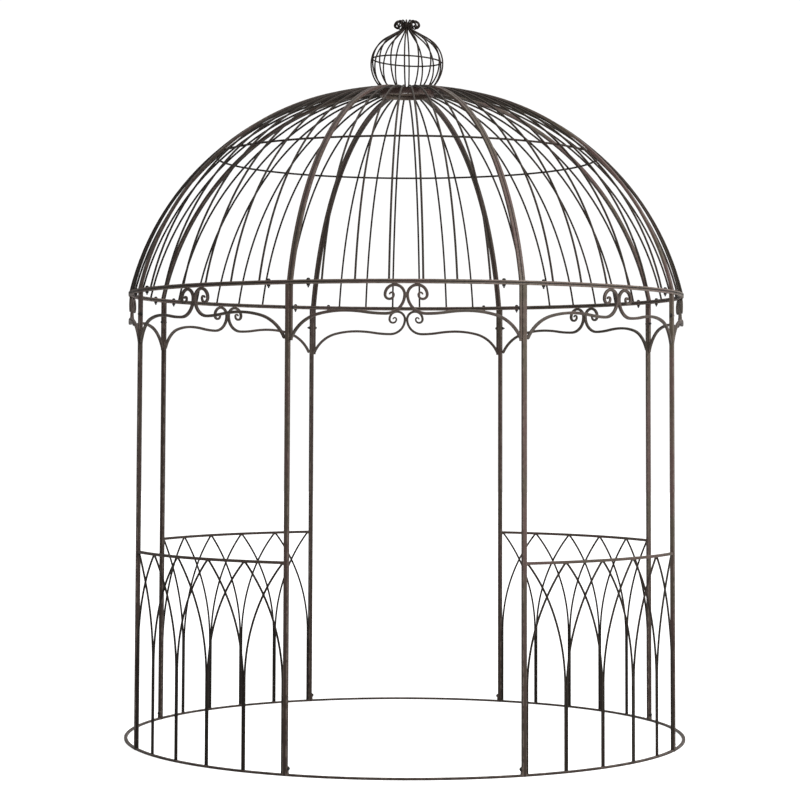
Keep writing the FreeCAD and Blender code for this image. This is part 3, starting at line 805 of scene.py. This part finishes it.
# Dome
dome = {
    "shift": 0.066,  # centre of a rib's circle out from the axis
    "rods": 6,
    "hoopRadius": 0.859,
    "ribSteps": 40,
    "rodSteps": 32,
    "footSink": 0.003,  # depth that ribs and rods run into the foot bar
    "footWeld": (0.012, 0.010, 0.0024),
    "hoopWeld": (0.011, 0.007, 0.0026),
    "crownWeld": (0.009, 0.006, 0.0024),
    "crownWeldOut": 0.001,
    "crownWeldBelow": 0.0035,
}
span = (collarRadius - dome["shift"]) ** 2 - (eavesRadius - dome["shift"]) ** 2
domeCentre = (span + collarHigh.z ** 2 - domeFoot ** 2) / (2 * (collarHigh.z - domeFoot))
ribCurve = math.hypot(eavesRadius - dome["shift"], domeFoot - domeCentre)


def meridian(angle, offset, count):
    # a line over the dome from the foot bar to the crown band, with the way out of the dome at each point
    first = math.asin((domeFoot - dome["footSink"] - domeCentre) / ribCurve)
    last = math.acos((collarRadius - weldBite - dome["shift"]) / ribCurve)
    centre = radial(angle) * dome["shift"] + upward * domeCentre + sideways(angle) * offset
    path, facing = [], []
    for turn in steps(first, last, count):
        out = radial(angle) * math.cos(turn) + upward * math.sin(turn)
        path.append(centre + out * ribCurve)
        facing.append(out)
    return path, facing


def makeDome():
    width = steel["ring"][0]
    bandWidth, bandHeight, _ = steel["band"]
    rib = steel["rib"][0]
    hoopCurve = ribCurve - rod + weldBite
    hoopLevel = domeCentre + math.sqrt(hoopCurve ** 2 - (dome["hoopRadius"] - dome["shift"]) ** 2)
    hoopTurn = math.asin((hoopLevel - domeCentre) / hoopCurve)
    seamShift = math.asin((postHalf + jointGap / 2) / eavesRadius)
    for bay, degrees in {**doorBays, **railedBays}.items():
        angle = math.radians(degrees)
        seam = halfBay - seamShift if bay in doorBays else halfBay + seamShift
        base, bars, rods, beads = newMesh(), newMesh(), newMesh(), newMesh()
        footHalf = seam - math.asin(jointGap / 2 / (eavesRadius - width / 2))
        levelBar(base, angle, footHalf, eavesRadius, beamTop + beamHeight / 2, domeFootSection)
        bandHalf = seam - math.asin(jointGap / 2 / (collarRadius - bandWidth))
        bandLevel = collarHigh.z - bandHeight / 2
        levelBar(bars, angle, bandHalf, collarRadius - bandWidth / 2, bandLevel, bandSection, 12)
        for side in (-1, 1):
            path, facing = meridian(angle + side * seam, -side * (rib + jointGap) / 2, dome["ribSteps"])
            sweep(bars, path, againstJoint(ribSection, side), facing)
        hoopHalf = seam - math.asin((jointGap + rib) / 2 / dome["hoopRadius"])
        levelBar(rods, angle, hoopHalf, dome["hoopRadius"], hoopLevel, rodSection(rod), 24)
        count = dome["rods"]
        for i in range(count):
            turn = angle + seam * (2 * (i + 1) / (count + 1) - 1)
            path, facing = meridian(turn, 0, dome["rodSteps"])
            sweep(rods, path, rodSection(rod), facing)
            foot = radial(turn) * eavesRadius + upward * domeFoot
            weld(beads, foot, sideways(turn), upward, *dome["footWeld"])
            out = radial(turn) * math.cos(hoopTurn) + upward * math.sin(hoopTurn)
            middle = radial(turn) * dome["shift"] + upward * domeCentre + out * (ribCurve - rod / 2)
            weld(beads, middle, sideways(turn), out, *dome["hoopWeld"])
            crownLevel = collarHigh.z - dome["crownWeldBelow"]
            crown = radial(turn) * (collarRadius + dome["crownWeldOut"]) + upward * crownLevel
            weld(beads, crown, sideways(turn), -upward, *dome["crownWeld"])
        node = bay + "_dome_panel"
        makePiece(bay + "DomeFoot", base, ringPaint, [node])
        makePiece(bay + "DomeFrame", bars, tubePaint, [node])
        makePiece(bay + "DomeRods", rods, rodPaint, [node])
        makePiece(bay + "DomeWelds", beads, weldPaint, [node])


makeDome()
print("dome panels made")


# Collar and finial
finial = {
    "rods": 16,
    "phase": -3.7,  # degrees
    "bulb": 0.162,  # widest radius of the cage, to the rods' centre lines
    "bulbLevel": 0.120,  # above the collar
    "seat": 0.0147,  # outside of the foot ring to the rods' centre lines
    "upperCurve": 0.130,
    "slope": 29,  # degrees
    "neck": 0.020,
    "neckBend": 0.016,
    "neckLength": 0.008,
    "curl": 0.0185,
    "curlEye": 0.011,
    "hoopLevel": 0.014,  # above the widest place
    "hoopTilt": 3,  # degrees
    "tipScale": 0.75,
    "tipPoints": 12,
    "footWeld": (0.010, 0.008, 0.002),
    "hoopWeld": (0.009, 0.005, 0.002),
}
cageFootRadius = collarHigh.x - steel["band"][0] - jointGap  # outside of the foot ring, within the collar


def arcPoints(centre, radius, first, last, count):
    turns = steps(math.radians(first), math.radians(last), count)
    return [(centre[0] + radius * math.cos(t), centre[1] + radius * math.sin(t)) for t in turns]


def cageProfile():
    # (radius, level) points of one rod, from the foot ring to the end of its curl
    level = collarHigh.z + finial["bulbLevel"]
    foot = collarHigh.z - steel["cageFoot"][1] / 3
    run, rise = finial["bulb"] - cageFootRadius + finial["seat"], level - foot
    lower = (run ** 2 + rise ** 2) / (2 * run)
    upper, slope = finial["upperCurve"], finial["slope"]
    first = -math.degrees(math.asin((level - foot) / lower))
    points = arcPoints((finial["bulb"] - lower, level), lower, first, 0, 12)
    points += arcPoints((finial["bulb"] - upper, level), upper, 0, 90 - slope, 12)[1:]
    bend, neck = finial["neckBend"], finial["neck"]
    incline = math.radians(slope)
    bendStart = neck + bend * (1 - math.sin(incline))
    neckLevel = points[-1][1] + (points[-1][0] - bendStart) * math.tan(incline) + bend * math.cos(incline)
    points += arcPoints((neck + bend, neckLevel), bend, 270 - slope, 180, 7)
    curlLevel = neckLevel + finial["neckLength"]
    curl, eye = finial["curl"], finial["curlEye"]
    points += arcPoints((neck + curl, curlLevel), curl, 180, 0, 14)
    points += arcPoints((neck + 2 * curl - eye, curlLevel), eye, 0, -180, 10)[1:]
    return points


def ringBar(bm, radius, level, section, count=64, tilt=0.0):
    lean = Matrix.Translation((0, 0, level)) @ Matrix.Rotation(math.radians(tilt), 4, "Y")
    turns = [2 * math.pi * i / count for i in range(count)]
    sweep(bm, [lean @ (radial(t) * radius) for t in turns], section,
          [(lean.to_3x3() @ radial(t)) for t in turns], closed=True)


def makeCollar():
    bm = newMesh()
    wall, height, _ = steel["band"]
    ringBar(bm, collarHigh.x - wall / 2, collarHigh.z - height / 2, bandSection)
    makePiece("crownCollar", bm, tubePaint, ["crown_collar"])


def makeFinial():
    foot, cage, beads = newMesh(), newMesh(), newMesh()
    footWidth, footHeight, corner = steel["cageFoot"]
    footSection = turnedSection(footWidth, footHeight, corner)
    ringBar(foot, cageFootRadius - footWidth / 2, collarHigh.z - footHeight / 2, footSection)
    cageRod = steel["cageRod"]
    lift, upper = finial["hoopLevel"], finial["upperCurve"]
    hoopRadius = finial["bulb"] - upper + math.sqrt(upper ** 2 - lift ** 2) - cageRod + weldBite
    hoopAt = collarHigh.z + finial["bulbLevel"] + lift
    ringBar(cage, hoopRadius, hoopAt, rodSection(cageRod), 64, finial["hoopTilt"])
    profile = cageProfile()
    tip, last = finial["tipScale"], len(profile) - 1
    scales = [min(1.0, tip + (1 - tip) * (last - i) / finial["tipPoints"]) for i in range(last + 1)]
    for i in range(finial["rods"]):
        turn = math.radians(360 / finial["rods"] * i + finial["phase"])
        path = [radial(turn) * r + upward * z for r, z in profile]
        sweep(cage, path, rodSection(cageRod), sideways(turn), scales=scales)
        low = path[0] + upward * (footHeight / 3)
        weld(beads, low, sideways(turn), upward, *finial["footWeld"])
        tilt = math.tan(math.radians(finial["hoopTilt"])) * hoopRadius * math.cos(turn)
        knot = radial(turn) * (hoopRadius + cageRod / 2) + upward * (hoopAt - tilt)
        weld(beads, knot, sideways(turn), radial(turn), *finial["hoopWeld"])
    makePiece("finialFoot", foot, tubePaint, ["finial_cage"])
    makePiece("finialRods", cage, rodPaint, ["finial_cage"])
    makePiece("finialWelds", beads, weldPaint, ["finial_cage"])


makeCollar()
makeFinial()
print("collar and finial made")


# Bolts
bolts = {
    "eavesSetback": 0.088,  # from a post's middle, along the eaves
    "friezeLevel": 1.876,
    "footLevel": 0.030,
    "headRadius": 0.0074,
    "headHeight": 0.0060,
    "washerRadius": 0.0080,
    "headWasher": 0.0012,
    "nutWasher": 0.0010,
    "washerRim": 0.94,  # the nut's washer is this much smaller at its face
    "washerEase": 0.0003,
    "seat": 0.0002,  # how far washers reach into the bar
    "step": 0.0002,  # from a washer to what stands on it
    "headFlat": 0.0003,
    "headStart": 0.15,  # share of the quarter turn that the head's edge leaves out
    "nutRadius": 0.0070,  # over the corners
    "nutHeight": 0.0062,
    "shank": 0.0036,
    "tail": 0.0070,  # thread that stands out of the nut
    "chamfer": 0.0008,
    "chamferScale": 0.93,
    "rounds": 6,
    "threadDepth": 0.86,  # share of the shank's radius, as is the tip
    "tip": 0.7,
    "shankSink": 0.001,  # how far the shank starts within the nut
    "hangerScale": 0.85,  # the hangers' bolt heads are smaller
}


def domedHead(bm, seat, out, scale=1.0):
    radius, height = bolts["headRadius"] * scale, bolts["headHeight"] * scale
    washer, thick = bolts["washerRadius"] * scale, bolts["headWasher"]
    base = thick + bolts["step"]
    profile = [(washer, -bolts["seat"]), (washer, thick), (radius, base)]
    for turn in steps(bolts["headStart"], 1.0, 6):
        angle = turn * math.pi / 2
        profile.append((radius * math.cos(angle) + bolts["headFlat"], base + height * math.sin(angle)))
    lathe(bm, seat, out, profile, 20)


def nutAndTail(bm, seat, out):
    washer, thick = bolts["washerRadius"], bolts["nutWasher"]
    rim = (washer * bolts["washerRim"], thick + bolts["washerEase"])
    lathe(bm, seat, out, [(washer, -bolts["seat"]), (washer, thick), rim], 20)
    nut, base, chamfer = bolts["nutRadius"], thick + bolts["step"], bolts["chamfer"]
    narrow, top = nut * bolts["chamferScale"], base + bolts["nutHeight"]
    lathe(bm, seat, out, [(narrow, base), (nut, base + chamfer), (nut, top - chamfer), (narrow, top)], 6, 0.3)
    shank, tail, rounds = bolts["shank"], bolts["tail"], bolts["rounds"]
    thread = [(shank, top - bolts["shankSink"])]
    for i in range(rounds):
        thread.append((shank * (bolts["threadDepth"] if i % 2 else 1.0), top + tail * i / rounds))
    thread.append((shank * bolts["tip"], top + tail))
    lathe(bm, seat, out, thread, 12)


def makeBolts():
    setback = bolts["eavesSetback"] / eavesRadius
    hanger = steel["hanger"][0]
    for bay, degrees in {**doorBays, **railedBays}.items():
        angle = math.radians(degrees)
        bm = newMesh()
        for side in (-1, 1):
            spot = radial(angle + side * (halfBay - setback)) * eavesRadius
            domedHead(bm, spot + upward * domeFoot, upward)
            nutAndTail(bm, spot + upward * postTop, -upward)
        makePiece(bay + "EavesBolts", bm, boltPaint, [bay + "_dome_panel"])
    for bay, degrees in doorBays.items():
        angle = math.radians(degrees)
        bm = newMesh()
        for side in (-1, 1):
            post = angle + side * halfBay
            inward = sideways(post) * -side
            level = bolts["friezeLevel"]
            middle = radial(post) * wallRadius(level) + upward * level
            domedHead(bm, middle + inward * (postHalf + jointGap + hanger), inward, bolts["hangerScale"])
            nutAndTail(bm, middle - inward * postHalf, -inward)
            level = bolts["footLevel"]
            middle = radial(post) * wallRadius(level) + upward * level
            domedHead(bm, middle + inward * (postHalf + jointGap + sill["tabThickness"]), inward)
        makePiece(bay + "DoorwayBolts", bm, boltPaint, [bay + "_frieze"])


makeBolts()
print("bolts made")


# Floor, light and camera
studio = {
    "floorSize": 60,
    "floorDrop": 0.001,
    "floorRoughness": 0.9,
    "floorColour": (0.70, 0.70, 0.70),
    "floorGlow": 0.62,  # only seen, so that it throws no light up
    "backdrop": 1.05,
    "roomLight": 0.45,
    "fromRight": 0.30,
    "fromAbove": 0.85,
    "keySize": 2.5,
    "keyPower": 380,
    "keyPlace": (4.5, -4.5, 5.0),
    "keyAim": (0, 0, 1.5),
}
camera = {
    "place": (0, -10.171, 1.468),
    "lens": 101.4,
    "sensor": 36,
    "roll": -0.18,  # degrees
    "shift": (-0.0072, 0.0117),
}


def makeWorld():
    # a white backdrop, and room light that is stronger from above and from the right
    world = bpy.data.worlds.new("studioWorld")
    world.use_nodes = True
    tree = world.node_tree
    side = addNode(tree, "ShaderNodeSeparateXYZ")
    tree.links.new(addNode(tree, "ShaderNodeTexCoord").outputs["Generated"], side.inputs[0])
    across = addRange(tree, side.outputs["X"], -1, 1, -studio["fromRight"], studio["fromRight"])
    overhead = studio["roomLight"] + studio["fromAbove"]
    above = addRange(tree, side.outputs["Z"], 0, 1, studio["roomLight"], overhead)
    room = addNode(tree, "ShaderNodeMath", operation="ADD")
    tree.links.new(across, room.inputs[0])
    tree.links.new(above, room.inputs[1])
    seen = addNode(tree, "ShaderNodeMix", data_type="FLOAT")
    tree.links.new(addNode(tree, "ShaderNodeLightPath").outputs["Is Camera Ray"], seen.inputs["Factor"])
    tree.links.new(room.outputs[0], seen.inputs[2])
    seen.inputs[3].default_value = studio["backdrop"]
    background = tree.nodes["Background"]
    background.inputs["Color"].default_value = (1, 1, 1, 1)
    tree.links.new(seen.outputs[0], background.inputs["Strength"])
    bpy.context.scene.world = world


def makeStudio():
    half, drop = studio["floorSize"] / 2, studio["floorDrop"]
    mesh = bpy.data.meshes.new("floor")
    corners = [(x * half, y * half, -drop) for x, y in ((-1, -1), (1, -1), (1, 1), (-1, 1))]
    mesh.from_pydata(corners, [], [(0, 1, 2, 3)])
    floor = bpy.data.objects.new("floor", mesh)
    bpy.context.scene.collection.objects.link(floor)
    paint = bpy.data.materials.new("paleFloor")
    paint.use_nodes = True
    surface = paint.node_tree.nodes["Principled BSDF"].inputs
    surface["Base Color"].default_value = (*studio["floorColour"], 1)
    surface["Roughness"].default_value = studio["floorRoughness"]
    surface["Specular IOR Level"].default_value = 0
    surface["Emission Color"].default_value = (1, 1, 1, 1)
    tree = paint.node_tree
    seen = addNode(tree, "ShaderNodeMath", operation="MULTIPLY")
    tree.links.new(addNode(tree, "ShaderNodeLightPath").outputs["Is Camera Ray"], seen.inputs[0])
    seen.inputs[1].default_value = studio["floorGlow"]
    tree.links.new(seen.outputs[0], surface["Emission Strength"])
    mesh.materials.append(paint)
    makeWorld()
    lamp = bpy.data.lights.new("softKey", "AREA")
    lamp.size = studio["keySize"]
    lamp.energy = studio["keyPower"]
    key = bpy.data.objects.new("softKey", lamp)
    key.location = studio["keyPlace"]
    aim = Vector(studio["keyAim"]) - key.location
    key.rotation_euler = aim.to_track_quat("-Z", "Y").to_euler()
    bpy.context.scene.collection.objects.link(key)


def makeCamera():
    data = bpy.data.cameras.new("viewCamera")
    data.lens = camera["lens"]
    data.sensor_width = camera["sensor"]
    data.shift_x, data.shift_y = camera["shift"]
    view = bpy.data.objects.new("viewCamera", data)
    view.location = camera["place"]
    view.rotation_euler = (math.pi / 2, math.radians(camera["roll"]), 0)
    bpy.context.scene.collection.objects.link(view)
    bpy.context.scene.camera = view


makeStudio()
makeCamera()
bpy.context.scene.view_settings.view_transform = "Standard"
print("scene ready")
